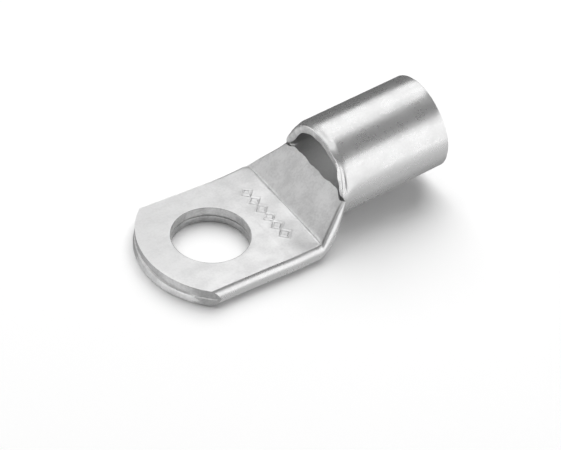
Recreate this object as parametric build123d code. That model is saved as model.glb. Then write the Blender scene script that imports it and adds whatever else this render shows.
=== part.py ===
from build123d import *
import os
from math import atan2, cos, radians, sin, tan

# An aluminium cable lug made from one piece of round tube, in millimetres.
# One end stays round and takes the conductor. The other end is pressed flat and punched for a stud.
# Between them the upper wall is sheared across and pushed down, which leaves a window under an arch.
# Origin: centre of the stud hole on the underside of the palm. +X runs to the round barrel, +Z is up.

# The tube
tube_diameter = 21.0
tube_wall = 2.0
barrel_length = 26.2
barrel_tilt = 6.0
mouth_chamfer = 0.25

# The palm: two layers of the tube wall pressed together
palm_width = 30.9
press_thinning = 0.1
slit_height = 0.1
roll_overshoot = 0.4
hole_diameter = 16.5
tip_distance = 15.3
tip_depth = 7.8
tip_corner_radius = 0.8

# The shoulder between palm and barrel
crease_distance = 18.3
plate_edge_rise = 0.69
heel_distance = 25.2
arch_setback = 1.9
shear_gap = 0.35
lip_radius = 0.4
roll_lead = 1.0
end_roll_width = 1.8
roll_swell = 0.9
roll_trim = 0.15

# How the folded side climbs, narrows and leaves the flat underside on its way to the barrel
climb_power = 1.3
narrowing_power = 2.0
lean_power = 2.0
lift_power = 4.0

# Worked out from the sizes above
tube_radius = tube_diameter / 2
bore_radius = tube_radius - tube_wall
layer = tube_wall - press_thinning
palm_thickness = 2 * layer + slit_height
half_width = palm_width / 2
mid_height = palm_thickness / 2
side_roll_radius = mid_height + roll_overshoot
tilt = radians(barrel_tilt)
axis_direction = Vector(cos(tilt), 0, sin(tilt))
axis_up = Vector(-sin(tilt), 0, cos(tilt))
heel = Vector(heel_distance, 0, 0)
arch_centre = heel + axis_up * tube_radius + axis_direction * arch_setback
arch_bottom = arch_centre - axis_up * tube_radius
crease_top = Vector(crease_distance, 0, palm_thickness)
slope = atan2(arch_centre.Z + plate_edge_rise - palm_thickness, arch_centre.X - crease_distance)
slope_direction = Vector(cos(slope), 0, sin(slope))
slope_normal = Vector(-sin(slope), 0, cos(slope))
roll_start = crease_distance - roll_lead
tip_side = -tip_distance - 1.0
far = heel_distance + barrel_length + tube_diameter


def blend(first, last, share):
    """A value that goes evenly from first to last."""
    return first + (last - first) * share


def plate_top(x):
    """Height of the flat top: level over the palm, then rising from the crease."""
    return palm_thickness + max(0.0, x - crease_distance) * tan(slope)


def lean_at(share):
    """How far a section leans back: upright at the palm, square to the barrel at the arch."""
    return tilt * share**lean_power


def fold_point(share):
    """Middle and half width of the folded side's widest line, from the palm (0) to the arch (1)."""
    x = blend(roll_start, arch_centre.X, share)
    z = blend(mid_height, arch_centre.Z, share**climb_power)
    reach = blend(half_width, tube_radius, share**narrowing_power)
    return Vector(x, 0, z), reach


def depth_at(share):
    """Distance from the fold's height down to the underside, measured in the section."""
    middle, _ = fold_point(share)
    underside = arch_bottom.Z * share**lift_power
    return (middle.Z - underside) / cos(lean_at(share))


def trough(reach, corner, depth):
    """Lower half of a section: a flat bottom and two quarter ellipses, or the tube's half circle."""
    flat = reach - corner
    if flat > 0.001:
        bottom = Line((-flat, -depth), (flat, -depth))
        right = EllipticalCenterArc((flat, 0), corner, depth, -90, arc_size=90)
        left = EllipticalCenterArc((-flat, 0), corner, depth, 180, arc_size=90)
    else:
        bottom_span = 16
        side_span = (180 - bottom_span) / 2
        left = CenterArc((0, 0), corner, 180, arc_size=side_span)
        bottom = CenterArc((0, 0), corner, 180 + side_span, arc_size=bottom_span)
        right = CenterArc((0, 0), corner, -side_span, arc_size=side_span)
    return [left, bottom, right]


def section(share, edges):
    """A closed section, placed at its own height and lean."""
    middle, _ = fold_point(share)
    lean = lean_at(share)
    plane = Plane(origin=middle, x_dir=(0, 1, 0), z_dir=(cos(lean), 0, sin(lean)))
    return plane * make_face(Wire(edges))


def outer_section(share):
    """Outside of the tube: the trough below, and above the fold a roll in to the flat top."""
    middle, reach = fold_point(share)
    overshoot = roll_overshoot * (1 - share)
    corner = blend(side_roll_radius, tube_radius, share)
    roll = blend(side_roll_radius, end_roll_width, share) + 4 * roll_swell * share * (1 - share)
    rise = (plate_top(middle.X) - middle.Z) / cos(lean_at(share))
    height = rise + overshoot + roll_trim * share
    inset = reach - roll
    right_roll = EllipticalCenterArc((inset, 0), roll, height, 0, arc_size=90)
    top = Line((inset, height), (-inset, height))
    left_roll = EllipticalCenterArc((-inset, 0), roll, height, 90, arc_size=90)
    lower = trough(reach, corner, depth_at(share) + overshoot)
    return section(share, lower + [right_roll, top, left_roll])


def inner_section(share):
    """Inside of the tube: the trough stepped in by the wall, open upwards past the plate."""
    middle, reach = fold_point(share)
    wall = blend(layer, tube_wall, share)
    corner = blend(side_roll_radius, tube_radius, share) - wall
    side = reach - wall
    height = plate_top(middle.X) - middle.Z + tube_wall
    right = Line((side, 0), (side, height))
    top = Line((side, height), (-side, height))
    left = Line((-side, height), (-side, 0))
    return section(share, trough(side, corner, depth_at(share) - wall) + [right, top, left])


def upright_prism(corners):
    """A profile in the X-Z plane, extruded both ways well past the palm's sides."""
    outline = Wire(Polyline(corners, close=True).edges())
    return extrude(make_face(outline), amount=palm_width, both=True)


def axial_bar(radius):
    """A round bar along the barrel, from the arch to the mouth."""
    plane = Plane(origin=arch_centre, z_dir=axis_direction)
    return extrude(plane * Circle(radius), amount=barrel_length)


def palm_plan():
    """Plan of the trimmed palm: straight sides and an arc at the tip."""
    shoulder_x = tip_depth - tip_distance
    tip = ThreePointArc((shoulder_x, -half_width), (-tip_distance, 0), (shoulder_x, half_width))
    far_corners = [(far, half_width), (far, -half_width)]
    sides = Polyline((shoulder_x, half_width), *far_corners, (shoulder_x, -half_width))
    plan = make_face(Wire([tip] + sides.edges()))
    corners = plan.vertices().filter_by_position(Axis.X, shoulder_x - 0.01, shoulder_x + 0.01)
    return fillet(corners, tip_corner_radius)


# The outside: palm and shoulder pressed between flat faces, then the round barrel
between_faces = upright_prism([
    (tip_side, 0, 0),
    (far, 0, 0),
    (far, 0, plate_top(far)),
    crease_top,
    (tip_side, 0, palm_thickness),
])
palm = extrude(outer_section(0), amount=roll_start - tip_side, dir=(-1, 0, 0))
shoulder = loft([outer_section(share) for share in (0, 0.12, 0.3, 0.5, 0.7, 0.87, 1)])
pressed = (palm + shoulder) & between_faces & extrude(palm_plan(), amount=far)
barrel = axial_bar(tube_radius)

# The plate: the sheared upper wall, pushed down and sloping from its free edge to the crease
reach_to_arch = (arch_centre - crease_top).dot(axis_direction) - shear_gap
plate_length = reach_to_arch / slope_direction.dot(axis_direction)
free_edge = crease_top + slope_direction * plate_length
under_setback = layer * tan(slope - tilt)
under_edge = free_edge - slope_normal * layer - slope_direction * under_setback
under_crease = crease_top - slope_normal * layer - slope_direction * palm_thickness
plate = upright_prism([crease_top, free_edge, under_edge, under_crease])

# The inside: a wedge under the plate that opens into the bore
slit_top = mid_height + slit_height / 2
wedge_start = crease_distance + (slit_top - palm_thickness + layer / cos(slope)) / tan(slope)
first_share = (wedge_start - slit_height - roll_start) / (arch_centre.X - roll_start)
wedge_shares = [blend(first_share, 1, step / 5) for step in range(6)]
wedge = loft([inner_section(share) for share in wedge_shares])
inside = wedge + axial_bar(bore_radius) - plate

# The slit between the two pressed layers, open at the tip and into the wedge, and the stud hole
slit_length = wedge_start + 3 * slit_height - tip_side
slit = Box(slit_length, palm_width - 2 * layer, slit_height)
slit = Pos(tip_side + slit_length / 2, 0, mid_height) * slit
stud_hole = Pos(0, 0, mid_height) * Cylinder(hole_diameter / 2, 2 * palm_thickness)

lug = pressed + barrel - inside - slit - stud_hole

# Small edges: the arch has a drawn-over outer lip, and the mouth is deburred inside and out
lip_plane = Plane(origin=arch_centre, x_dir=axis_direction, z_dir=axis_up)
inner_lip = tube_radius - lip_radius
lip_round = CenterArc((lip_radius, inner_lip), lip_radius, 90, arc_size=90)
lip_outside = Polyline((0, inner_lip), (0, tube_radius + layer), (lip_radius, tube_radius + layer))
lip_side = Line((lip_radius, tube_radius + layer), (lip_radius, tube_radius))
lip_profile = make_face(Wire([lip_round, lip_side] + lip_outside.edges()))
lip_waste = revolve(lip_plane * lip_profile, Axis(arch_centre, axis_direction), 180)
lug -= lip_waste

mouth_centre = arch_centre + axis_direction * barrel_length
mouth_edges = [
    edge for edge in lug.edges().filter_by(GeomType.CIRCLE)
    if (edge.arc_center - mouth_centre).length < 0.01
]
lug = chamfer(mouth_edges, mouth_chamfer)

os.makedirs("parts", exist_ok=True)
export_step(lug, "parts/lug_body.step")
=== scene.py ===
import math

import bmesh
import bpy
import numpy as np
from mathutils import Matrix


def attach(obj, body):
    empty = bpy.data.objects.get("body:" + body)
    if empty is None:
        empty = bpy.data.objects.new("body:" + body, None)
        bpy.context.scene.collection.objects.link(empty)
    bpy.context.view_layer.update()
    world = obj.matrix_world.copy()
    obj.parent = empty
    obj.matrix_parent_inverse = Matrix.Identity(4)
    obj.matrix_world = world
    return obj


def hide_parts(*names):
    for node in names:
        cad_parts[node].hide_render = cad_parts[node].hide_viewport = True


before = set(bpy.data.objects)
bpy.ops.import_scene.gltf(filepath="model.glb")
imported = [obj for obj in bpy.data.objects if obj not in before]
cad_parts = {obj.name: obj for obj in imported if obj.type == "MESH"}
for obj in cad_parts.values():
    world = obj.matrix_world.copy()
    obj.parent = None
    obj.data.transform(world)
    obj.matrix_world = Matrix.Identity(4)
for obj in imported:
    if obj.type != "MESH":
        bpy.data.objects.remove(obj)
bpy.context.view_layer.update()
print("frame loaded")

# One piece of round tube: barrel, sheared shoulder and pressed palm. Sizes in millimetres.
lug = {
    "tubeRadius": 10.5,
    "wall": 2.0,
    "barrelLength": 26.2,       # arch to mouth
    "barrelTilt": 6.0,          # degrees
    "palmHalfWidth": 15.45,
    "layer": 1.9,               # one pressed layer of the palm
    "slit": 0.1,
    "holeRadius": 8.25,
    "tipDistance": 15.3,
    "tipDepth": 7.8,
    "tipCorner": 1.2,
    "crease": 18.3,
    "plateEdgeRise": 0.69,      # plate's plane over the barrel's axis, at the arch
    "heel": 25.2,               # where the barrel's lowest line would meet the table
    "archSetback": 1.9,         # from there to the arch, along the barrel
    "rollLead": 1.0,            # how far before the crease the folded side begins to climb
    "rollOvershoot": 0.25,      # how far the folded side's ellipse reaches past the flats, at the palm
    "rollTrim": 0.55,           # and past the plate's plane, at the arch
    "endRollWidth": 3.4,        # the roll's width at the arch
    "rollSwell": 0.5,           # and how much wider it is half way
    "climbPower": 2.0,          # how the fold's height and reach go from palm to barrel
    "reachPower": 1.65,
    "leanPower": 2,             # how the sections lean back, and how the underside leaves the table
    "liftPower": 4,
    "sideTurn": (90, 82),       # degrees of a section's lower side before its bottom, at palm and arch
}

# What the press, the shear and the punch left: soft edges, drag, tears and dents; and two painted lights, a
# lighter patch on the tip's lower layer and a highlight on the arch's near lip.
# A bell is (where, how wide, how high). A random wave is (how high, seed, reach).
wearAndPaintedLight = {
    # cut edges of the hole and the tip
    "holeRound": 0.18,
    "tipRound": 0.3,
    "cutFoot": 0.1,                     # height of the soft edge at a cut's foot
    "parting": (0.0, 0.09, 0.4),        # groove between the two layers, down from the parting
    "lowerCorner": (0.18, 0.14, 0.28),  # the lower layer's worn corner
    "tipParting": 0.5,                  # the groove is this much of it at the tip
    "tipPartedTo": (9.5, 13.0),         # where across the tip the groove fades away
    "tipPartedWave": (0.8, 72, 9),
    "layerStep": 0.16,                  # how far the lower layer stands out at the tip
    "layerSlant": 0.3,                  # and how much further at its foot
    "layerStepHeight": 0.3,
    "tipFade": 0.9,                     # the cut thins out over this height on the rolled sides
    "punchDrag": (0.025, 61, 0.25),     # round a circle of radius 1
    "punchSlant": 0.0375,
    "punchDragFrom": 0.4,               # depth at which the drag marks are full
    "tipDrag": (0.02, 71, 4),
    "tipDragFrom": 0.3,
    "tipDragStretch": (9, 0.2),         # across and down
    "paintedBrightFace": (-12.5, 4.5),          # the part of the lower layer's cut face given a lighter tone: painted reflection
    "paintedBrightFaceWave": (0.5, 73, 3),
    # palm and plate
    "palmWave": (0.035, 31, 11),
    "palmWaveFade": 1.5,                # length over which the waves begin, behind the hole
    "platePillow": (0.07, 41, 9),
    "plateBlend": 0.5,                  # length over which the palm's surface becomes the plate's
    "calmPower": 12,                    # the higher, the closer to its own edges the flat is uneven
    "upturn": 0.26,                     # the palm turns up a little before the crease
    "upturnLength": 4.0,
    "upturnFade": 1.8,                  # and settles again past it
    "creaseLine": 0.13,
    "creaseGroove": (0.04, 0.13, 1.0),  # the press mark's section: a groove with a burr before it
    "creaseBurr": (-0.22, 0.12, 0.5),
    "creaseMean": 0.9,
    "creaseWave": (0.3, 21, 5),
    "creaseDeeper": (3, 9, 0.7),        # from here to there across it gets deeper by this share
    "creaseDents": [                    # small dents past the crease: (place across, how far past, radius)
        (9.4, 0.8, 0.3), (9.0, 1.35, 0.22), (8.5, 0.5, 0.25),
        (7.8, 0.95, 0.18), (6.2, 0.4, 0.16), (-2.9, 0.3, 0.15),
    ],
    "dentDepth": 0.22,                  # in radii
    "freeEdge": [                       # the plate's free edge: (place across, place along)
        (-9.7, 24.75), (-8.8, 25.27), (-7.9, 25.68), (-6.9, 25.85), (-5.6, 25.73),
        (-3.4, 25.5), (0.3, 25.48), (4.3, 25.64), (8.1, 25.85), (9.7, 25.5),
    ],
    "raggedEdge": [(0.06, 51, 3.2), (0.03, 52, 1.1)],
    "stretchFrom": 0.1,                 # share of the shoulder from where the plate is drawn out to that edge
    # each roll's flat edge stops short of the arch, by this share on either side and at its root
    "rollTear": {1: 0.04, -1: 0.06},
    "rootTear": 0.0445,
    "tearPowers": (1.3, 6),
    # the arch and its feet: bells round the tube are (degrees from the bottom, width in radians, how high)
    "archFull": 0.42,                   # height over the axis, in radii, where the arch's wear is full
    "feetFull": 0.08,
    "archRollover": 0.38,
    "rolloverFade": (0.1, 1.9),         # along the barrel it fades away from here to there
    "flatNearSide": (172, 240, 0.7),    # from here to there in degrees the rollover is less by this share
    "archEdge": (0.12, 0.08),           # size and length of the small round at the very edge
    "valleySides": [(243, 0.42, 0.06), (103, 0.2, 0.024)],
    "valleyFoot": [(262, 0.25, 0.3)],
    "valleyAlong": (0.6, 0.35),         # place and width along the barrel
    "valleyFootAlong": (0.6, 0.16),
    "archNicks": [(0.07, 81, 7.875), (0.042, 82, 2.25)],
    "lipForward": [(258, 0.25, 0.5)],   # the near foot of the arch is dragged over the roll's gap
    "lipThinned": [(248, 0.38, 0.85), (94, 0.14, 0.85)],
    "lipFlattened": 0.7,                # on the near side the inside moves out by this share of the rollover
    "lipLength": 0.8,
    "archInnerRound": 0.1,
    "archInnerBurr": 0.28,
    "faceSwell": 0.1,
    "faceSwellNear": [(248, 0.4, 0.3)],
    "faceTear": (0.5, 91, 3),
    "paintedLipHighlight": (222, 16),             # painted highlight on the arch's near lip: degrees where it begins, and how much further on at the inside
    "mouthRound": 0.25,
    # the whole shape
    "footOutward": {1: 0.45, -1: 0.5},
    "footForward": {1: 0.9, -1: 0.6},
    "footAcross": (10.0, 2.4, 1.0),
    "footHigh": (1.2, 3.0, 1.0),        # from the barrel's axis
    "footAlong": (0.2, 2.4, 1.0),       # from the arch
    "flank": (8.5, 13),                 # pinch and bulge take hold from here to there across
    "pinch": (6, 11, 0.2),
    "cornerBulge": (-0.2, 1.5, 0.08),   # from the crease
    "shoulderDrift": (0.2, 4.6, 0.45),
}

# A stamped row of plain diamonds between hole and crease
stampRow = {
    "along": 13.5,
    "across": (7.2, 4.3, 1.4, -1.5, -4.4, -7.3),
    "halfSize": 1.25,
    "stroke": 0.17,
    "depth": 0.15,
    "slant": 0.75,                      # distance square to a diamond's side, over that along X, about
    "burr": (2.1, 0.3),                 # place in strokes, and height as a share of the groove's depth
    "worn": (0.25, 0.75),               # least and mean share of the depth that is left
    "wornWave": (0.35, 5, 3.0),
}

tilt = math.radians(lug["barrelTilt"])
thickness = 2 * lug["layer"] + lug["slit"]
midHeight = thickness / 2
sideRoll = midHeight + lug["rollOvershoot"]
boreRadius = lug["tubeRadius"] - lug["wall"]
alongBarrel = np.array([math.cos(tilt), 0.0, math.sin(tilt)])
upBarrel = np.array([-math.sin(tilt), 0.0, math.cos(tilt)])
sideways = np.array([0.0, 1.0, 0.0])
heel = np.array([lug["heel"], 0.0, 0.0])
archCentre = heel + upBarrel * lug["tubeRadius"] + alongBarrel * lug["archSetback"]
archBottom = (archCentre - upBarrel * lug["tubeRadius"])[2]
slopeTan = (archCentre[2] + lug["plateEdgeRise"] - thickness) / (archCentre[0] - lug["crease"])
slope = math.atan(slopeTan)
alongPlate = np.array([math.cos(slope), 0.0, math.sin(slope)])
rollStart = lug["crease"] - lug["rollLead"]

# The finishes, in the order of the lug's material slots; the darker tones of bore and cut are painted shade
drawn, cut, bore, palm, plate, trim = range(6)


def blend(first, last, share):
    # the value that lies this share of the way from first to last
    return first + (last - first) * share


def ease(value, low, high):
    # 0 below low, 1 above high, and 3t^2 - 2t^3 between
    t = np.clip((value - low) / (high - low), 0, 1)
    return t * t * (3 - 2 * t)


def hump(value, centre, width, height=1.0):
    # a bell: its height times e to the minus square of the distance in widths
    return height * np.exp(-((value - centre) / width) ** 2)


def humpsRound(turn, bells):
    # the sum of some bells round the tube, whose places are in degrees
    return sum(hump(turn, math.radians(place), width, height) for place, width, height in bells)


def joined(*parts):
    # runs end to end, each without its first value, which the one before ends with
    return np.concatenate([parts[0]] + [part[1:] for part in parts[1:]])


def points(x, y, z):
    # a grid of points from three grids of places, each repeated where it is smaller
    return np.stack(np.broadcast_arrays(x, y, z), axis=-1)


def mirrored(grid, side):
    # a grid as it is for side 1, and its mirror image across the middle for side -1
    return grid * np.array([1, side, 1])


def waves(u, v, wave, count=9):
    # a smooth random field: the sum of some sine waves with seeded directions and phases, over the root of
    # their number, times its height
    height, seed, reach = wave
    draw = np.random.default_rng(seed)
    total = 0.0
    for turn, size, phase in draw.uniform((0, 0.5, 0), (2 * np.pi, 1.6, 2 * np.pi), (count, 3)):
        total = total + np.sin((u * np.cos(turn) + v * np.sin(turn)) * size / reach * 2 * np.pi + phase)
    return height * total / count ** 0.5


# The tube's outside and inside, section by section. Share 0 is the palm, share 1 the arch.

def foldLine(share):
    # the folded side's widest line goes evenly along from palm to barrel, its height and reach by a power
    x = blend(rollStart, archCentre[0], share)
    z = blend(midHeight, archCentre[2], share ** lug["climbPower"])
    return x, z, blend(lug["palmHalfWidth"], lug["tubeRadius"], share ** lug["reachPower"])


def leanAt(share):
    # a section leans back by the barrel's tilt times a power of its share
    return tilt * share ** lug["leanPower"]


def undersideAt(share):
    # the underside rises to the arch's bottom by a power of the share
    return archBottom * share ** lug["liftPower"]


def cornerAt(share):
    # half width of the section's round side
    return blend(sideRoll, lug["tubeRadius"], share)


def sideEnd(share):
    # the turn where a section's lower side gives way to its bottom
    return np.radians(blend(*lug["sideTurn"], share))


def leaned(share, across, height):
    # a section's point, from its place across and its height over the fold along the section's lean
    x, z, _ = foldLine(share)
    lean = leanAt(share)
    return points(x - height * np.sin(lean), across, z + height * np.cos(lean))


def slopeHeight(share, drop=0.0):
    # height over the fold where a section meets the plate's plane, or one parallel to it a drop below
    x, z, _ = foldLine(share)
    lean = leanAt(share)
    over = thickness - drop / math.cos(slope) + (x - lug["crease"]) * slopeTan - z
    return over / (np.cos(lean) + np.sin(lean) * slopeTan)


def flatHeight(share):
    # height over the fold where a section meets the flat top: the higher of palm and sloping plate
    level = (thickness - foldLine(share)[1]) / np.cos(leanAt(share))
    return np.maximum(level, slopeHeight(share))


def rollPoint(share, part):
    # a quarter ellipse from the widest line (part 0), cut off where it meets the flat (part 1)
    x, z, reach = foldLine(share)
    rise = thickness + np.maximum(0, x - lug["crease"]) * slopeTan - z
    width = blend(sideRoll, lug["endRollWidth"], share) + 4 * lug["rollSwell"] * share * (1 - share)
    height = rise / np.cos(leanAt(share)) + blend(lug["rollOvershoot"], lug["rollTrim"], share)
    turn = np.arcsin(np.clip(flatHeight(share) / height, 0, 1)) * part
    return leaned(share, reach - width + width * np.cos(turn), height * np.sin(turn))


def bowl(flat, corner, start, end, part):
    # a section's lower half, as place across and share of its depth: an ellipse's arc down the side
    # from start to end (part 0 to 1), then in to the middle (1 to 2)
    turn = blend(start, end, np.clip(part, 0, 1))
    edge = (flat + corner * np.cos(end)) * np.clip(2 - part, 0, 1)
    rim = np.sqrt(1 - np.clip((edge - flat) / corner, 0, 1) ** 2)
    across = np.where(part <= 1, flat + corner * np.cos(turn), edge)
    return across, np.where(part <= 1, np.sin(turn), rim)


def troughPoint(share, part):
    # the lower half of the outside: the bowl, cut off where it would reach below the table
    _, z, reach = foldLine(share)
    lean = np.cos(leanAt(share))
    corner = cornerAt(share)
    depth = (z - undersideAt(share)) / lean + lug["rollOvershoot"] * (1 - share)
    floor = z / lean
    end = np.minimum(np.arcsin(np.clip(floor / depth, 0, 1)), sideEnd(share))
    across, fall = bowl(reach - corner, corner, 0, end, part)
    return leaned(share, across, -np.minimum(depth * fall, floor))


def wedgeShape(share):
    # inside of the shoulder: half width of its flat floor, width of its round side, depth below the fold,
    # and the turn where the plate's underside cuts it
    _, z, reach = foldLine(share)
    wall = blend(lug["layer"], lug["wall"], share)
    depth = (z - undersideAt(share)) / np.cos(leanAt(share)) - wall
    plateCut = np.arcsin(np.clip(-slopeHeight(share, lug["layer"]) / depth, -1, 1))
    return reach - cornerAt(share), cornerAt(share) - wall, depth, plateCut


def wedgePoint(share, part, rise=1.0):
    # the lower half of the inside: the bowl, from the plate's underside (rise 1) or from the fold (rise 0)
    flat, corner, depth, plateCut = wedgeShape(share)
    start = plateCut * rise
    end = np.maximum(sideEnd(share), start)
    across, fall = bowl(flat, corner, start, end, part)
    return leaned(share, across, -depth * fall)


def barrelPoint(s, radius, turn):
    # a point at s along the barrel's axis from the arch; turn goes round from the bottom towards +Y
    s, radius, turn = np.broadcast_arrays(s, radius, turn)
    spoke = np.sin(turn)[..., None] * sideways - np.cos(turn)[..., None] * upBarrel
    return archCentre + s[..., None] * alongBarrel + radius[..., None] * spoke


def pressed(grid):
    # what the tools did to the even shape, each by a bell of the distance from its place: the arch's feet
    # drawn out, and forward down the plate's slope, the sides pinched between tip and crease and bulged
    # beside it, and the shoulder pushed to one side
    offset = grid - archCentre
    s, high, across = offset @ alongBarrel, offset @ upBarrel, offset[..., 1]
    x, side = grid[..., 0], np.where(across < 0, -1, 1)
    past = x - lug["crease"]
    foot = hump(np.abs(across), *wearAndPaintedLight["footAcross"]) * hump(high, *wearAndPaintedLight["footHigh"])
    foot = foot * hump(s, *wearAndPaintedLight["footAlong"])
    forward, out = (np.where(side < 0, wearAndPaintedLight[key][-1], wearAndPaintedLight[key][1]) for key in ("footForward", "footOutward"))
    width = hump(past, *wearAndPaintedLight["cornerBulge"]) - hump(x, *wearAndPaintedLight["pinch"])
    flank = ease(np.abs(across), *wearAndPaintedLight["flank"])
    outward = foot * out * side + flank * width * side + hump(past, *wearAndPaintedLight["shoulderDrift"])
    return grid + outward[..., None] * sideways - (foot * forward)[..., None] * alongPlate


class Skin:
    # gathers patches of points; where two patches touch they have the same points, which are joined
    touching = 2.5e-6           # metres between points that are joined
    sliver = 1e-6               # metres of an edge that is taken out
    sharpAngle = 50             # degrees between faces that meet in a sharp edge

    def __init__(self):
        self.points, self.faces, self.finishes, self.count = [], [], [], 0

    def patch(self, grid, finish=drawn):
        # one quad for each cell of a grid of points
        rows, columns = grid.shape[:2]
        corner = (np.arange(rows - 1)[:, None] * columns + np.arange(columns - 1)).ravel() + self.count
        quads = np.stack([corner, corner + 1, corner + columns + 1, corner + columns], axis=1)
        self.faces.append(quads)
        self.finishes.append(np.full(len(quads), finish))
        self.points.append(grid.reshape(-1, 3))
        self.count += rows * columns

    def seam(self, first, second, firstAt, secondAt, finish):
        # triangles between two rows with other counts: each edge is joined to the point opposite its middle
        a, b = len(first), len(second)
        firstMid = (firstAt[1:] + firstAt[:-1]) / 2
        secondMid = (secondAt[1:] + secondAt[:-1]) / 2
        edge = np.arange(a - 1)
        upper = np.stack([edge, edge + 1, a + np.searchsorted(secondMid, firstMid, side="right")], axis=1)
        edge = np.arange(b - 1)
        lower = np.stack([a + edge + 1, a + edge, np.searchsorted(firstMid, secondMid)], axis=1)
        faces = np.concatenate([upper, lower]) + self.count
        self.faces.append(faces)
        self.finishes.append(np.full(len(faces), finish))
        self.points.append(np.concatenate([first, second]))
        self.count += a + b

    def build(self, name):
        # into a mesh in metres, with touching points joined and every face outwards
        mesh = bpy.data.meshes.new(name)
        faces = [face for part in self.faces for face in part.tolist()]
        mesh.from_pydata(pressed(np.concatenate(self.points)) / 1000, [], faces)
        mesh.polygons.foreach_set("material_index", np.concatenate(self.finishes).astype(np.int32))
        work = bmesh.new()
        work.from_mesh(mesh)
        bmesh.ops.remove_doubles(work, verts=work.verts, dist=self.touching)
        bmesh.ops.dissolve_degenerate(work, edges=work.edges, dist=self.sliver)
        bmesh.ops.recalc_face_normals(work, faces=work.faces)
        if work.calc_volume(signed=True) < 0:
            bmesh.ops.reverse_faces(work, faces=work.faces)
        openEdges = sum(not edge.is_manifold for edge in work.edges)
        work.to_mesh(mesh)
        work.free()
        mesh.polygons.foreach_set("use_smooth", np.ones(len(mesh.polygons), bool))
        mesh.set_sharp_from_angle(angle=math.radians(self.sharpAngle))
        piece = bpy.data.objects.new(name, mesh)
        bpy.context.collection.objects.link(piece)
        print(name, len(mesh.polygons), "faces,", openEdges, "open edges")
        return piece


# Where the surfaces are divided. Parts run along a section, stations and shares along the lug.
sideParts = 1 - (1 - np.linspace(0, 1, 19)) ** 1.5      # widest line to flat, closer at the flat
bottomParts = np.linspace(1, 2, 13)
troughParts = joined(sideParts, bottomParts)
wallParts = np.linspace(0, 1, 5)                        # outside to inside across a cut wall
markStart = 10.5                                        # the finely divided strip behind the hole
stripX = np.linspace(markStart, rollStart, 51)
toTip = 1 - (1 - np.linspace(1, 0, 25)) ** 1.25         # before it, as shares of the way to the tip
shares = joined(np.linspace(0, 0.12, 9), np.linspace(0.12, 0.9, 46), np.linspace(0.9, 1, 9))
spokeShares = joined(np.linspace(0, 0.12, 4), np.linspace(0.12, 0.9, 14), np.linspace(0.9, 1, 4))

# The palm's half section above and below its widest line, and the columns across its flat top
upperHalf = rollPoint(0.0, sideParts)
lowerHalf = troughPoint(0.0, sideParts)
flatHalfWidth = upperHalf[-1, 1]
fineColumn = wearAndPaintedLight["freeEdge"][-1][0] / flatHalfWidth    # the columns are closer over the plate's free edge
columns = joined(
    np.linspace(-1, -fineColumn, 12),
    np.linspace(-fineColumn, fineColumn, 170),
    np.linspace(fineColumn, 1, 12),
)
tipAcross = np.linspace(-flatHalfWidth, flatHalfWidth, 97)
tipMiddle = len(tipAcross) // 2


def tipX(across):
    # plan of the trimmed tip: an arc through the tip and both sides, with small round corners
    half, corner = lug["palmHalfWidth"], lug["tipCorner"]
    arc = (half ** 2 + lug["tipDepth"] ** 2) / (2 * lug["tipDepth"])
    arcX = arc - lug["tipDistance"]
    cornerX = arcX - math.sqrt((arc - corner) ** 2 - (half - corner) ** 2)
    meets = (half - corner) * arc / (arc - corner)
    away = np.clip(np.abs(across), 0, half)
    onArc = arcX - np.sqrt(arc ** 2 - np.minimum(away, meets) ** 2)
    onCorner = cornerX - np.sqrt(np.maximum(corner ** 2 - (away - half + corner) ** 2, 0))
    return np.where(away < meets, onArc, onCorner)


def rollShare(share, part, tear):
    # the roll ends short of the arch by its tear, which grows with powers of part and share
    partPower, sharePower = wearAndPaintedLight["tearPowers"]
    return share * (1 - tear * part ** partPower * share ** sharePower)


def palmStrip(halfSection):
    # a half section of the palm, carried from its rounded tip edge to the start of the shoulder
    across, height = halfSection[:, 1], halfSection[:, 2]
    start = tipX(across) + wearAndPaintedLight["tipRound"]
    front = points(blend(markStart, start, toTip[:, None]), across, height)
    return np.concatenate([front, points(stripX[1:, None], across, height)])


def addSides(skin):
    # on each side the palm's edge, the roll above the widest line and the trough below it
    for side in (1, -1):
        skin.patch(mirrored(palmStrip(upperHalf), side))
        skin.patch(mirrored(palmStrip(lowerHalf), side))
        torn = rollShare(shares[:, None], sideParts, wearAndPaintedLight["rollTear"][side])
        skin.patch(mirrored(rollPoint(torn, sideParts), side))
        skin.patch(mirrored(troughPoint(shares[:, None], troughParts), side))


def stampDepth(x, y):
    # a diamond's outline is where the distances along and across add up to its half size;
    # a groove runs there with a low burr on each side
    depth = np.zeros(np.broadcast(x, y).shape)
    stroke = stampRow["stroke"]
    burrPlace, burrHeight = stampRow["burr"]
    for across in stampRow["across"]:
        inside = stampRow["halfSize"] - np.abs(x - stampRow["along"]) - np.abs(y - across)
        away = np.abs(inside) * stampRow["slant"]
        groove = hump(away, 0, stroke) - hump(away, burrPlace * stroke, stroke, burrHeight)
        depth = np.where(np.abs(groove) > np.abs(depth), groove, depth)
    least, mean = stampRow["worn"]
    return stampRow["depth"] * depth * np.clip(mean + waves(x, y, stampRow["wornWave"]), least, 1)


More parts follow.
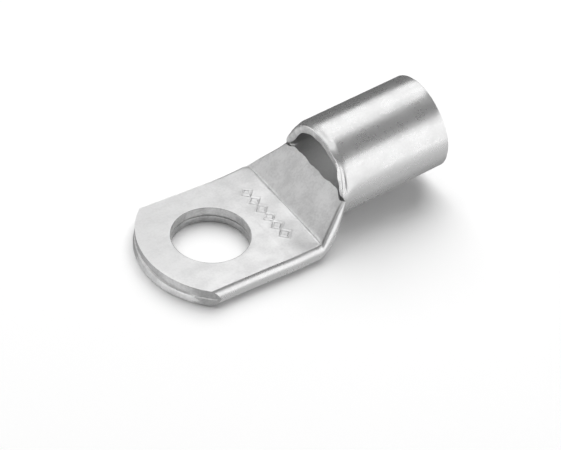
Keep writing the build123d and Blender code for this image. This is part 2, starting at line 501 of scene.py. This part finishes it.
def topLift(x, y):
    # height over the even flat: the upturn falls off as a square before the crease and as a power of e
    # past it; minus the press mark, the dents and the stamped row; plus slow waves on palm and plate
    past = x - lug["crease"]
    onPlate = ease(x, lug["crease"], lug["crease"] + wearAndPaintedLight["plateBlend"])
    before = np.clip(1 + past / wearAndPaintedLight["upturnLength"], 0, 1) ** 2
    upturn = wearAndPaintedLight["upturn"] * np.where(past < 0, before, np.exp(-past / wearAndPaintedLight["upturnFade"]))
    pressMark = hump(past, *wearAndPaintedLight["creaseGroove"]) - hump(past, *wearAndPaintedLight["creaseBurr"])
    deeperFrom, deeperTo, deeper = wearAndPaintedLight["creaseDeeper"]
    deepening = deeper * ease(y, deeperFrom, deeperTo)
    strength = wearAndPaintedLight["creaseMean"] + waves(x, y, wearAndPaintedLight["creaseWave"]) + deepening
    lift = upturn - wearAndPaintedLight["creaseLine"] * pressMark * strength
    for across, beyond, radius in wearAndPaintedLight["creaseDents"]:
        distance = np.hypot(past - beyond, y - across)
        lift = lift - hump(distance, 0, radius, wearAndPaintedLight["dentDepth"] * radius)
    begun = ease(x, markStart, markStart + wearAndPaintedLight["palmWaveFade"])
    lift = lift + (1 - onPlate) * waves(x, y, wearAndPaintedLight["palmWave"]) * begun
    lift = lift + onPlate * waves(x, y, wearAndPaintedLight["platePillow"])
    return lift - stampDepth(x, y) * (1 - onPlate)


def addTop(skin):
    # the palm's top behind the hole, the crease and the plate: rows between the two flat edges, lifted,
    # and drawn along the slope to the torn free edge; nothing moves at the flat's own edges
    near, far = (mirrored(np.concatenate([
        points(stripX, flatHalfWidth, upperHalf[-1, 2]),
        rollPoint(rollShare(shares[1:], 1.0, wearAndPaintedLight["rollTear"][side]), 1.0),
    ])[:, None], side) for side in (-1, 1))
    x, y, z = np.moveaxis(blend(near, far, (columns[:, None] + 1) / 2), -1, 0)
    clear = 1 - np.abs(columns) ** wearAndPaintedLight["calmPower"] + 0 * x
    z = z + topLift(x, y) * clear
    edgeY, edgeX = np.transpose(wearAndPaintedLight["freeEdge"])
    torn = sum(waves(y, 0 * y, wave) for wave in wearAndPaintedLight["raggedEdge"])
    reach = np.interp(y[-1], edgeY, edgeX) - x[-1] + torn[-1]
    shareOfPlate = np.concatenate([np.zeros(len(stripX)), shares[1:]])
    shift = reach * clear[-1] * ease(shareOfPlate, wearAndPaintedLight["stretchFrom"], 1)[:, None]
    x, z = x + shift, z + shift * slopeTan
    top = points(x, y, z)
    skin.patch(top, np.where(x[:-1, :-1] < lug["crease"], palm, plate).ravel())
    return top


def flatRing(sideX, backRow, height):
    # the outline of a flat, from the tip's middle round and back again, with the angle of each point
    tip = points(tipX(tipAcross) + wearAndPaintedLight["tipRound"], tipAcross, height)
    sideRow = points(sideX, flatHalfWidth, height)
    ring = joined(tip[tipMiddle:], sideRow, backRow, mirrored(sideRow[::-1], -1), tip[:tipMiddle + 1])
    return ring, np.unwrap(np.arctan2(ring[:, 1], ring[:, 0]))


def holeRim(angle, height):
    # the circle where the flat ends and the hole's rounded rim begins
    radius = lug["holeRadius"] + wearAndPaintedLight["holeRound"]
    return points(radius * np.cos(angle), radius * np.sin(angle), height)


def addFlat(skin, ring, angle, height, wavy=0.0):
    # spokes from the hole's rim out to a flat's outline, with slow waves that leave both rings alone
    grid = blend(holeRim(angle, height), ring, spokeShares[:, None, None])
    margin = 0.1
    away = ease(spokeShares, 0, margin) * (1 - ease(spokeShares, 1 - margin, 1))
    grid[..., 2] += wavy * away[:, None] * waves(grid[..., 0], grid[..., 1], wearAndPaintedLight["palmWave"])
    skin.patch(grid, palm)


# Depths below the top of the rows on a cut face: close at its rounded top, at the parting and at its foot
closeFrom, closeTo = midHeight - 0.25, midHeight + 0.5
cutDepth = joined(
    wearAndPaintedLight["holeRound"] * (1 - np.cos(np.linspace(0, np.pi / 2, 7))),
    np.linspace(wearAndPaintedLight["holeRound"], closeFrom, 7),
    np.linspace(closeFrom, closeTo, 22),
    np.linspace(closeTo, thickness - wearAndPaintedLight["cutFoot"], 7),
    np.linspace(thickness - wearAndPaintedLight["cutFoot"], thickness, 3),
)


def cutInset(depth, rounding, open=1.0):
    # how far a cut stands back at a depth below the top: a quarter circle at the rim, a groove at the parting
    # and the worn corner below it
    rim = rounding - np.sqrt(np.maximum(rounding ** 2 - np.maximum(rounding - depth, 0) ** 2, 0))
    parting = hump(depth - midHeight, *wearAndPaintedLight["parting"])
    lowerCorner = hump(depth - midHeight, *wearAndPaintedLight["lowerCorner"]) * (depth > midHeight)
    return rim + (parting + lowerCorner) * open


def atFoot(depth):
    # 0 above a cut's foot, then eased to 1 at the underside
    return ease(depth, thickness - wearAndPaintedLight["cutFoot"], thickness)


def awayFromEdges(top):
    # 1 on a cut face, eased to 0 at its foot and over a height at its top
    foot = wearAndPaintedLight["cutFoot"]
    return (ease(cutDepth, 0, top) * (1 - ease(cutDepth, thickness - 4 * foot, thickness - foot)))[:, None]


def addPalm(skin, topRow):
    # the rest of the palm's top and the underside, out from the stud hole, and the hole's punched wall
    frontX = palmStrip(upperHalf)[:len(toTip), -1, 0]
    topRing, topAngle = flatRing(frontX, topRow[::-1], thickness)
    addFlat(skin, topRing, topAngle, thickness, 1.0)
    under = troughPoint(0.0, bottomParts)
    underRow = np.concatenate([under[:-1], mirrored(under[::-1], -1)])
    underRing, underAngle = flatRing(np.concatenate([frontX, stripX[1:]]), underRow, 0.0)
    addFlat(skin, underRing, underAngle, 0.0)

    inset = cutInset(cutDepth, wearAndPaintedLight["holeRound"]) + atFoot(cutDepth) * wearAndPaintedLight["holeRound"]
    around = np.cos(topAngle) + cutDepth[:, None] * wearAndPaintedLight["punchSlant"]
    drag = waves(around, np.sin(topAngle), wearAndPaintedLight["punchDrag"]) * awayFromEdges(wearAndPaintedLight["punchDragFrom"])
    radius = lug["holeRadius"] + inset[:, None] + drag
    wall = points(radius * np.cos(topAngle), radius * np.sin(topAngle), thickness - cutDepth[:, None])
    # the wall's darker cut finish is painted shade in the hole
    skin.patch(wall[:-1], cut)
    skin.seam(wall[-2], holeRim(underAngle, 0.0), -topAngle, -underAngle, cut)


def addTip(skin):
    # the trimmed tip: the cut across both layers, which thins out on the rolled sides
    edge = upperHalf[:-1, 1:]
    tipY = np.concatenate([-edge[:, 0], tipAcross, edge[::-1, 0]])
    tipHigh = np.concatenate([edge[:, 1], np.full(len(tipAcross), thickness), edge[::-1, 1]])
    full = ease(tipHigh - midHeight, 0, wearAndPaintedLight["tipFade"])
    rounding = wearAndPaintedLight["tipRound"]
    down = cutDepth[:, None]
    away = np.abs(tipY) + waves(tipY, 0 * tipY, wearAndPaintedLight["tipPartedWave"])
    parted = wearAndPaintedLight["tipParting"] * (1 - ease(away, *wearAndPaintedLight["tipPartedTo"]))
    slant = np.clip((thickness - down) / midHeight, 0, 1) - 0.5
    stand = cutInset(down, rounding, parted) + atFoot(down) * rounding
    stand = stand + wearAndPaintedLight["layerStep"] * (1 - ease(down, midHeight, midHeight + wearAndPaintedLight["layerStepHeight"]))
    stand = stand + wearAndPaintedLight["layerSlant"] * slant * ease(down, 0, rounding)
    stand[[0, -1]] = rounding
    dragAcross, dragDown = wearAndPaintedLight["tipDragStretch"]
    drag = waves(tipY * dragAcross, down * dragDown, wearAndPaintedLight["tipDrag"]) * awayFromEdges(wearAndPaintedLight["tipDragFrom"])
    x = tipX(tipY) + blend(rounding, stand, full) + drag * full
    tipFace = points(x, tipY, blend(tipHigh, thickness - tipHigh, down / thickness))
    # part of the lower layer's face takes the lighter plate finish: a painted reflection
    rowAt, placeAt = np.meshgrid(cutDepth[:-1], tipY[:-1], indexing="ij")
    placeAt = placeAt + waves(placeAt, rowAt * 2, wearAndPaintedLight["paintedBrightFaceWave"])
    nearest, farthest = wearAndPaintedLight["paintedBrightFace"]
    paintedBrightFace = (rowAt > midHeight) & (placeAt > nearest) & (placeAt < farthest)
    skin.patch(tipFace, np.where(paintedBrightFace, plate, trim).ravel())


def addBarrel(skin):
    # outside, bore, the arch's sheared face and the mouth's rim, all on one closed loop of columns:
    # the trough's below and the arch's above
    sideTurn = math.radians(lug["sideTurn"][1])
    lowerTurn = joined(np.pi / 2 - sideTurn * sideParts, np.arcsin(math.cos(sideTurn) * (2 - bottomParts)))
    upperTurn = np.linspace(np.pi / 2, 3 * np.pi / 2, 121)
    fullTurn = joined(lowerTurn[::-1], upperTurn, 2 * np.pi - lowerTurn)
    overArch = ease(-np.cos(fullTurn), 0.0, wearAndPaintedLight["archFull"])
    overFeet = ease(-np.cos(fullTurn), 0.0, wearAndPaintedLight["feetFull"])
    nearFrom, nearTo, flatter = wearAndPaintedLight["flatNearSide"]
    nearSide = ease(fullTurn, math.radians(nearFrom), math.radians(nearTo))
    length, mouth = lug["barrelLength"], wearAndPaintedLight["mouthRound"]
    closeOutside, closeInside = 6, 4                    # from the arch to here the rows are closer

    # the outside: rolled over and dented at the arch, with a torn edge
    fadeFrom, rolled = wearAndPaintedLight["rolloverFade"]
    along = joined(rolled * np.linspace(0, 1, 18) ** 1.3, np.linspace(rolled, closeOutside, 12),
                   np.linspace(closeOutside, length - mouth, 22))[:, None]
    edgeSize, edgeLength = wearAndPaintedLight["archEdge"]
    shrink = wearAndPaintedLight["archRollover"] * (1 - flatter * nearSide) * (1 - ease(along, fadeFrom, rolled))
    shrink = shrink + edgeSize * np.exp(-along / edgeLength)
    valley = humpsRound(fullTurn, wearAndPaintedLight["valleySides"]) * hump(along, *wearAndPaintedLight["valleyAlong"])
    valley = valley + humpsRound(fullTurn, wearAndPaintedLight["valleyFoot"]) * hump(along, *wearAndPaintedLight["valleyFootAlong"])
    arc = fullTurn * lug["tubeRadius"]
    lip = sum(waves(arc, 0 * arc, wave) for wave in wearAndPaintedLight["archNicks"]) * overArch
    lip = lip - humpsRound(fullTurn, wearAndPaintedLight["lipForward"]) * overFeet
    torn = lip * np.exp(-along / wearAndPaintedLight["lipLength"])
    outside = barrelPoint(along + torn, lug["tubeRadius"] - (shrink + valley) * overArch, fullTurn)
    skin.patch(outside)

    # the bore: a small round and a burr at the arch, and the wall drawn thinner on the near side and far foot
    rounding = wearAndPaintedLight["archInnerRound"]
    boreAlong = joined(rounding * (1 - np.cos(np.linspace(0, np.pi / 2, 6))),
                       np.linspace(rounding, closeInside, 10),
                       np.linspace(closeInside, length - mouth, 14))[:, None]
    back = 1 - np.clip(boreAlong / rounding, 0, 1)
    fade = np.exp(-boreAlong / wearAndPaintedLight["lipLength"])
    thinned = humpsRound(fullTurn, wearAndPaintedLight["lipThinned"]) * overFeet
    thinned = thinned + wearAndPaintedLight["lipFlattened"] * wearAndPaintedLight["archRollover"] * nearSide * overArch
    radius = boreRadius + rounding * (1 - np.sqrt(1 - back ** 2)) * overArch
    radius = radius + (thinned - wearAndPaintedLight["archInnerBurr"] * overArch) * fade
    inside = barrelPoint(boreAlong + lip * fade, radius, fullTurn)
    # the bore's darker finish is painted shade inside the tube
    skin.patch(inside, bore)

    # the arch's sheared face; on the near side its lip takes the bright drawn finish, a painted highlight, on
    # the inner rows only further round
    overShear = slice(len(lowerTurn) - 1, len(lowerTurn) - 1 + len(upperTurn))
    face = blend(outside[0, overShear], inside[0, overShear], wallParts[:, None, None])
    swell = wearAndPaintedLight["faceSwell"] + humpsRound(upperTurn, wearAndPaintedLight["faceSwellNear"])
    swell = swell * np.sin(wallParts * np.pi)[:, None] * overArch[overShear]
    faceArc = upperTurn * 11                            # about the millimetres round the face
    swell = swell * (1 + waves(faceArc, wallParts[:, None], wearAndPaintedLight["faceTear"]))
    rowAt, turnAt = np.meshgrid(wallParts[:-1], np.degrees(upperTurn[:-1]), indexing="ij")
    brightFrom, brightLag = wearAndPaintedLight["paintedLipHighlight"]
    faceFinish = np.where(turnAt > brightFrom + brightLag * rowAt, drawn, cut).ravel()
    skin.patch(face - swell[..., None] * alongBarrel, faceFinish)

    # the mouth's rim, with both edges rounded
    quarter = np.linspace(0, np.pi / 2, 6)
    rimS = length - mouth + mouth * joined(np.sin(quarter), np.ones(6), np.sin(quarter[::-1]))
    rimRadius = joined(lug["tubeRadius"] - mouth * (1 - np.cos(quarter)),
                       np.linspace(lug["tubeRadius"] - mouth, boreRadius + mouth, 6),
                       boreRadius + mouth * (1 - np.cos(quarter[::-1])))
    skin.patch(barrelPoint(rimS[:, None], rimRadius[:, None], fullTurn))


def addShoulderInside(skin, freeEdge):
    # the wedge under the plate: floor, the plate's underside over the same columns, the roll's torn ends,
    # and the plate's sheared end; it begins at the share where its floor and the underside part
    table = np.linspace(0.02, 0.8, 2000)
    firstShare = np.interp(0.0, slopeHeight(table, lug["layer"]) + wedgeShape(table)[2], table)
    lastShare = rollShare(1.0, 1.0, wearAndPaintedLight["rootTear"])
    wedgeShares = np.linspace(firstShare, lastShare, 18)[:, None]
    rootShares = rollShare(1.0, sideParts, wearAndPaintedLight["rootTear"])[::-1, None]
    wedgeFloor = wedgePoint(wedgeShares, troughParts)
    rootFloor = wedgePoint(rootShares, troughParts, sideParts[::-1, None])
    ceiling = leaned(wedgeShares, wedgeFloor[..., 1], slopeHeight(wedgeShares, lug["layer"]))
    for side in (1, -1):
        # the wedge's floor and ceiling take the bore's darker finish: painted shade under the plate
        skin.patch(mirrored(joined(wedgeFloor, rootFloor), side), bore)
        skin.patch(mirrored(ceiling, side), bore)
        root = mirrored(rootFloor[::-1, 0], side)
        rollEnd = mirrored(rollPoint(rollShare(1.0, sideParts, wearAndPaintedLight["rollTear"][side]), sideParts), side)
        skin.patch(blend(rollEnd, root, wallParts[:, None, None]), cut)

    underEdge = ceiling[-1]
    x, halfWidth, z = underEdge[0]
    end = blend(freeEdge, points(x, halfWidth * columns, z), wallParts[:-1, None, None])
    skin.patch(end, cut)
    underRow = np.concatenate([mirrored(underEdge[:-1], -1), underEdge[::-1]])
    skin.seam(end[-1], underRow, columns, underRow[:, 1] / halfWidth, cut)


def makeLug():
    # the lug's whole skin, which has no gaps once its patches are joined
    skin = Skin()
    addSides(skin)
    top = addTop(skin)
    addPalm(skin, top[0])
    addTip(skin)
    addBarrel(skin)
    addShoulderInside(skin, top[-1])
    return skin


lugPiece = makeLug().build("lug")


class Wire:
    # a socket of a node tree, so that shader maths reads as plain expressions
    def __init__(self, tree, socket=None):
        self.tree, self.socket = tree, socket

    def node(self, kind, settings=(), output=0, **inputs):
        # a node of any type: its settings are set first, then the values or links of its sockets, which
        # go by their names, or by their places as i0, i1 and so on
        made = self.tree.nodes.new(kind)
        for name, value in dict(settings).items():
            setattr(made, name, value)
        for name, value in inputs.items():
            byPlace = name[0] == "i" and name[1:].isdigit()
            target = made.inputs[int(name[1:]) if byPlace else name]
            if isinstance(value, Wire):
                self.tree.links.new(value.socket, target)
            else:
                target.default_value = value
        return Wire(self.tree, made.outputs[output])

    def maths(self, operation, *values):
        sockets = {f"i{place}": value for place, value in enumerate(values)}
        return self.node("ShaderNodeMath", {"operation": operation}, **sockets)

    def __add__(self, other):
        return self.maths("ADD", self, other)

    def __sub__(self, other):
        return self.maths("SUBTRACT", self, other)

    def __rsub__(self, other):
        return self.maths("SUBTRACT", other, self)

    def __mul__(self, other):
        return self.maths("MULTIPLY", self, other)

    __radd__, __rmul__ = __add__, __mul__

    def between(self, low, high):
        # eased from 0 at low to 1 at high
        return self.node("ShaderNodeMapRange", {"interpolation_type": "SMOOTHSTEP"},
                         Value=self, **{"From Min": low, "From Max": high})

    def mixed(self, first, second):
        # a grey from first to second by this factor
        return self.node("ShaderNodeMix", {"data_type": "RGBA"}, 2, i0=self, i6=grey(first), i7=grey(second))


def grey(tone):
    # the colour with this much of red, green and blue
    return tone, tone, tone, 1


def noise(base, place, scale, detail, stretch=(1, 1, 1)):
    # noise on a stretched place; scale is in features per metre
    moved = base.node("ShaderNodeMapping", Vector=place, Scale=stretch)
    return base.node("ShaderNodeTexNoise", {"noise_dimensions": "3D"}, Vector=moved,
                     Scale=scale, Detail=detail, Roughness=0.5)


# Tinned aluminium, in the order of the slots: (brightest, dullest) tone, (smoothest, roughest),
# how much the marks of drawing or cutting change the roughness, the bump, and how the marks are stretched
tinned = {
    "drawn": {"tone": (0.99, 0.92), "rough": (0.26, 0.34), "drag": 0.05, "bump": 0.05, "marks": (0.06, 1, 1)},
    # cut and trim are one sheared finish; cut's tone is set darker than trim's, a painted shade, chiefly for
    # the hole's wall
    "cut": {"tone": (0.62, 0.46), "rough": (0.36, 0.46), "drag": 0.12, "bump": 0.45, "marks": (1, 1, 0.08)},
    # the bore's tone, darker than the drawn outside's, is painted shade inside the tube and under the plate
    "bore": {"tone": (0.79, 0.73), "rough": (0.36, 0.40), "drag": 0.06, "bump": 0.20, "marks": (0.06, 1, 1)},
    "palm": {"tone": (0.99, 0.90), "rough": (0.31, 0.40), "drag": 0.05, "bump": 0.40, "marks": (0.2, 1, 1)},
    "plate": {"tone": (0.92, 0.76), "rough": (0.40, 0.50), "drag": 0.05, "bump": 0.40, "marks": (0.4, 1, 1)},
    "trim": {"tone": (0.70, 0.55), "rough": (0.36, 0.46), "drag": 0.12, "bump": 0.45, "marks": (1, 1, 0.08)},
}

# The tin's own texture: features per metre and detail of each noise, and how they are mixed
tin = {
    "cloud": (300, 3),                  # soft patches a few millimetres wide
    "grain": (2000, 1),                 # the fine mottle
    "lines": (900, 2),                  # drawn or dragged marks
    "toneMix": (0.55, 0.30, 0.15),      # shares of cloud, grain and lines in the tone
    "toneRange": (0.36, 0.66),          # where that mix is all bright, and all dull
    "heightMix": (0.45, 0.55),          # shares of grain and lines in the height
    "bumpDistance": 0.00002,            # metres
}


def metal(name):
    # one mix of the noises drives tone and roughness, which the marks change too; mottle and marks are raised
    look = tinned[name]
    material = bpy.data.materials.new("tinned_" + name)
    material.use_nodes = True
    tree = material.node_tree
    shader = tree.nodes["Principled BSDF"]
    base = Wire(tree)
    place = base.node("ShaderNodeTexCoord", output=3)   # Object coordinates
    cloud = noise(base, place, *tin["cloud"])
    grain = noise(base, place, *tin["grain"])
    lines = noise(base, place, *tin["lines"], look["marks"])
    ofCloud, ofGrain, ofLines = tin["toneMix"]
    bloom = (cloud * ofCloud + grain * ofGrain + lines * ofLines).between(*tin["toneRange"])
    colour = bloom.mixed(*look["tone"])
    low, high = look["rough"]
    roughness = low + bloom * (high - low) + (lines - 0.5) * look["drag"]
    ofGrain, ofLines = tin["heightMix"]
    height = grain * ofGrain + lines * ofLines
    bump = base.node("ShaderNodeBump", Height=height, Strength=look["bump"], Distance=tin["bumpDistance"])
    for socket, wire in (("Base Color", colour), ("Roughness", roughness), ("Normal", bump)):
        tree.links.new(wire.socket, shader.inputs[socket])
    shader.inputs["Metallic"].default_value = 1.0
    return material


for finish in tinned:
    lugPiece.data.materials.append(metal(finish))
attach(lugPiece, "root")
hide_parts("lug_body")
print("materials done")

# Floor, lamp and reflection cards, in metres
studio = {
    "floorTone": 0.80,          # the floor's tone where it lights the lug; it is white to camera and mirrors
    "floorSeen": 1.0,
    "floorSize": 12.0,
    "floorDrop": 0.00002,       # just below the lug's flat underside
    "ambient": 0.22,            # the white room's strength as a light
    "aim": (0.02, 0, 0.005),    # what the lamps face
    "lamps": [
        # name, place, side, level on the floor
        ("keySoftbox", (0.43, 0.60, 1.23), 1.65, 1.14),
    ],
    "cards": [
        # name, place, which way it faces, length along X, depth, tones of the lower and the upper edge
        # glowing cards that only mirrors see: painted reflections of a dark and grey studio round the lug
        ("overheadFlag", (0.30, -0.31, 0.70), (-0.35, 0.38, -0.86), 1.60, 0.58, (0.20, 0.20)),
        ("rearFlag", (0.084, 0.071, 0.050), (0, -0.66, 0.75), 0.14, 0.135, (0.16, 0.13)),
        ("leftGrey", (-0.30, 0.12, 0.40), (0.75, -0.10, -0.65), 0.80, 0.55, (0.56, 0.25)),
        ("leftTop", (-0.235, -0.100, 0.370), (0.56, 0.22, -0.80), 0.40, 0.24, (0.05, 0.05)),
        ("leftFlag", (-0.055, -0.225, 0.040), (0.35, 0.90, -0.05), 0.16, 0.16, (0.14, 0.14)),
        # these three lie on the floor and paint the reflected shade of the floor beside the lug
        ("underMat", (0.046, -0.0075, 0.0003), (0, 0, 1), 0.030, 0.012, (0.36, 0.20)),
        ("frontMat", (0.040, -0.0385, 0.0004), (0, 0, 1), 0.17, 0.050, (0.80, 0.42)),
        ("tipMat", (-0.019, 0.012, 0.0003), (0, 0, 1), 0.020, 0.030, (0.64, 0.10)),
        ("farGrey", (0.033, 0.100, 0.090), (-0.38, -0.62, -0.68), 0.042, 0.042, (0.56, 0.56)),
    ],
}


def placedMatrix(right, up, back, place):
    # the matrix whose X, Y and Z axes and origin these are
    turned = np.eye(4)
    turned[:3] = np.transpose([right, up, back, place])
    return Matrix(turned.tolist())


def aimed(place, target):
    # a matrix at place whose -Z looks at the target, with X level
    back = np.array(place, float) - np.array(target, float)
    back /= np.linalg.norm(back)
    straightDown = abs(back[2]) > 0.999
    right = np.array([1.0, 0, 0]) if straightDown else np.cross([0, 0, 1], back)
    right /= np.linalg.norm(right)
    return placedMatrix(right, np.cross(back, right), back, place)


def seenRays(base):
    # 1 for the camera's rays and for those in mirrors and glass, 0 for diffuse light
    camera, glossy, through = (
        base.node("ShaderNodeLightPath", output=name)
        for name in ("Is Camera Ray", "Is Glossy Ray", "Is Transmission Ray")
    )
    return camera.maths("MAXIMUM", camera, glossy.maths("MAXIMUM", glossy, through))


def flatSheet(name, width, depth, material):
    # a level rectangle round the origin, of width along X and depth along Y
    mesh = bpy.data.meshes.new(name)
    w, d = width / 2, depth / 2
    mesh.from_pydata([(-w, -d, 0), (w, -d, 0), (w, d, 0), (-w, d, 0)], [], [(0, 1, 2, 3)])
    mesh.materials.append(material)
    sheet = bpy.data.objects.new(name, mesh)
    bpy.context.collection.objects.link(sheet)
    return sheet


def mattMaterial(name, tone, glow=0.0):
    # no shine; glow is the strength of its own light
    material = bpy.data.materials.new(name)
    material.use_nodes = True
    shader = material.node_tree.nodes["Principled BSDF"]
    shader.inputs["Base Color"].default_value = grey(tone)
    shader.inputs["Roughness"].default_value = 1.0
    shader.inputs["Specular IOR Level"].default_value = 0.0
    shader.inputs["Emission Color"].default_value = grey(1)
    shader.inputs["Emission Strength"].default_value = glow
    return material


paper = mattMaterial("palePaper", studio["floorTone"])
tone = seenRays(Wire(paper.node_tree)).mixed(studio["floorTone"], studio["floorSeen"])
paper.node_tree.links.new(tone.socket, paper.node_tree.nodes["Principled BSDF"].inputs["Base Color"])
floor = flatSheet("floor", studio["floorSize"], studio["floorSize"], paper)
floor.location.z = -studio["floorDrop"]

for name, place, side, level in studio["lamps"]:
    # a square lamp's power for a level: pi squared, distance squared, over the cosine on the floor
    distance = float(np.linalg.norm(place))
    data = bpy.data.lights.new(name, "AREA")
    data.shape, data.size = "SQUARE", side
    data.energy = level * math.pi ** 2 * distance ** 2 / (place[2] / distance)
    lamp = bpy.data.objects.new(name, data)
    lamp.matrix_world = aimed(place, studio["aim"])
    lamp.visible_glossy = False                         # mirrors see the white room and the cards
    bpy.context.collection.objects.link(lamp)

for name, place, facing, length, depth, tones in studio["cards"]:
    # a card glows a little by itself, evenly from its lower edge to its upper, and only mirrors see it: a
    # painted reflection
    reflectionCard = mattMaterial(name + "Felt", 0.0, 1.0)
    base = Wire(reflectionCard.node_tree)
    height = base.node("ShaderNodeSeparateXYZ", output=1, Vector=base.node("ShaderNodeTexCoord", output=3))
    shade = (height * (1 / depth) + 0.5).mixed(*tones)
    reflectionCard.node_tree.links.new(shade.socket, reflectionCard.node_tree.nodes["Principled BSDF"].inputs["Emission Color"])
    card = flatSheet(name, length, depth, reflectionCard)
    card.matrix_world = aimed(place, np.subtract(place, facing))
    card.visible_camera = card.visible_diffuse = card.visible_shadow = False

world = bpy.data.worlds.new("studio")
bpy.context.scene.world = world
world.use_nodes = True
tree = world.node_tree
level = studio["ambient"] + seenRays(Wire(tree)) * (1 - studio["ambient"])
tree.links.new(level.socket, tree.nodes["Background"].inputs["Strength"])
tree.nodes["Background"].inputs["Color"].default_value = grey(1)

# The photograph's camera, from a fit to the lug's outlines
view = {
    "azimuth": -36.47, "elevation": 42.35, "roll": 4.65,                            # degrees
    "distance": 0.41753, "right": 0.01710, "up": -0.00439, "height": 0.004853,      # metres
    "clipStart": 0.01,
    "focalPixels": 2000.0, "widthPixels": 561.0,
    "sensorWidth": 36.0,                                                            # millimetres
}
azimuth, elevation, roll = (math.radians(view[key]) for key in ("azimuth", "elevation", "roll"))
forwardLevel = np.array([-math.sin(azimuth), math.cos(azimuth), 0])
back = np.array([0, 0, math.sin(elevation)]) - forwardLevel * math.cos(elevation)
right = np.array([math.cos(azimuth), math.sin(azimuth), 0])
up = np.cross(back, right)
turnedRight = right * math.cos(roll) + up * math.sin(roll)
turnedUp = up * math.cos(roll) - right * math.sin(roll)
eye = np.array([view["right"], 0, view["height"]]) + back * view["distance"] + turnedUp * view["up"]
cameraData = bpy.data.cameras.new("camera")
cameraData.sensor_width = view["sensorWidth"]
cameraData.lens = view["sensorWidth"] * view["focalPixels"] / view["widthPixels"]
cameraData.clip_start = view["clipStart"]
camera = bpy.data.objects.new("camera", cameraData)
camera.matrix_world = placedMatrix(turnedRight, turnedUp, back, eye)
bpy.context.collection.objects.link(camera)
bpy.context.scene.camera = camera
bpy.context.scene.view_settings.view_transform = "Standard"
print("studio done")

bpy.context.view_layer.update()
